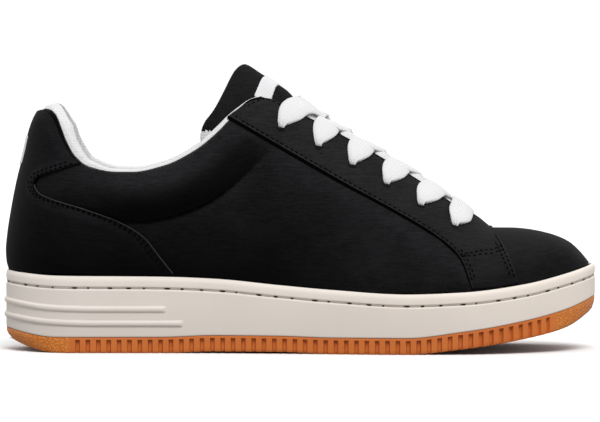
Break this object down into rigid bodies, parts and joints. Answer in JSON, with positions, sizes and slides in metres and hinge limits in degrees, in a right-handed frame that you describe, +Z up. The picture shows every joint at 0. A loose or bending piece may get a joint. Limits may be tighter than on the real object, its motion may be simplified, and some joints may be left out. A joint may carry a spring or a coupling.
{
  "type": "sneaker",
  "caption": "Low lace-up court sneaker for the right foot: black nubuck upper, padded white collar lining, flat white laces, cream cupsole with heel ribs and gum rubber outsole.",
  "frame": {"origin": "centre of the shoe's bounding box, on the ground under the sole", "axes": "+X to the toe, +Y to the inner side of the right foot, +Z up"},
  "size_m": [0.2801, 0.1008, 0.1361],
  "materials": {
    "gum_rubber": "satin gum rubber, notched round its edge",
    "cupsole_rubber": "matte cream rubber with a stitch channel",
    "insole_fabric": "plain textile",
    "upper_nubuck": "matte nubuck nap",
    "counter_nubuck": "matte nubuck, double stitched",
    "eyestay_nubuck": "matte nubuck, stitched edge",
    "lining_mesh": "padded white mesh",
    "tongue_nubuck": "padded matte nubuck",
    "lace_cotton": "flat woven white lace"
  },
  "bodies": {
    "root": {"outsole": "gum_rubber", "midsole": "cupsole_rubber", "insole": "insole_fabric", "upper": "upper_nubuck", "heel_counter": "counter_nubuck", "eyestay": "eyestay_nubuck", "collar_lining": "lining_mesh", "tongue": "tongue_nubuck", "laces": "lace_cotton"}
  },
  "joints": []
}
